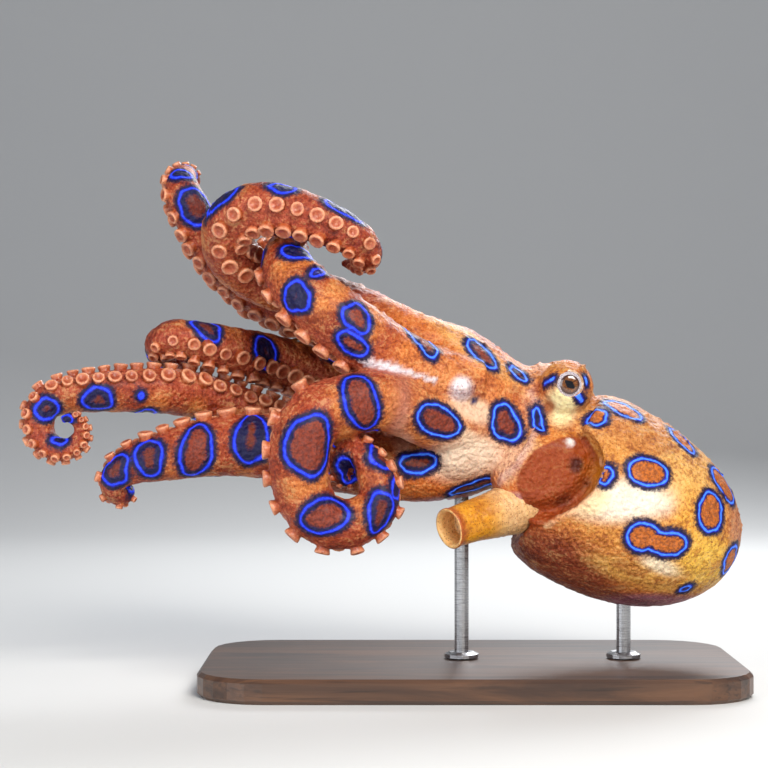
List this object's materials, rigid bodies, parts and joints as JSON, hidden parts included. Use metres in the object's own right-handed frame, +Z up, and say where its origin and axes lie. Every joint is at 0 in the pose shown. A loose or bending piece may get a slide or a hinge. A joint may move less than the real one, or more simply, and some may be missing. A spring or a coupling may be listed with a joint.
{
  "type": "blue ringed octopus on a display stand",
  "caption": "Life-size blue ringed octopus, swimming with its arms curled and spread, held above a flat display base by short rods.",
  "frame": {"origin": "on the flat underside of the stand base, below the animal's balance point", "axes": "+X towards the end of the mantle, -X towards the arm tips, -Y towards the animal's left side, +Z up"},
  "size_m": [0.1507, 0.0679, 0.1105],
  "materials": {
    "skin": "wet skin, orange brown with yellow mottling and blue rings",
    "skin_arm": "wet skin, deep orange brown with blue rings and paler suckers",
    "skin_funnel": "wet skin, ochre yellow with fine brown speckle",
    "eye": "gold brown iris, dark slit pupil and pale rim under clear gloss",
    "stand": "dark stained, satin",
    "steel": "brushed"
  },
  "bodies": {
    "root": {"mantle": "skin", "head": "skin", "eye_left": "eye", "eye_right": "eye", "funnel": "skin_funnel", "arm_crown": "skin", "arm_left_1_base": "skin_arm", "arm_left_1_middle": "skin_arm", "arm_left_1_tip": "skin_arm", "arm_left_2_base": "skin_arm", "arm_left_2_middle": "skin_arm", "arm_left_2_tip": "skin_arm", "arm_left_3_base": "skin_arm", "arm_left_3_middle": "skin_arm", "arm_left_3_tip": "skin_arm", "arm_left_4_base": "skin_arm", "arm_left_4_middle": "skin_arm", "arm_left_4_tip": "skin_arm", "arm_right_1_base": "skin_arm", "arm_right_1_middle": "skin_arm", "arm_right_1_tip": "skin_arm", "arm_right_2_base": "skin_arm", "arm_right_2_middle": "skin_arm", "arm_right_2_tip": "skin_arm", "arm_right_3_base": "skin_arm", "arm_right_3_middle": "skin_arm", "arm_right_3_tip": "skin_arm", "arm_right_4_base": "skin_arm", "arm_right_4_middle": "skin_arm", "arm_right_4_tip": "skin_arm", "stand_base": "stand", "stand_rod_mantle": "steel", "stand_rod_crown": "steel"}
  },
  "joints": []
}
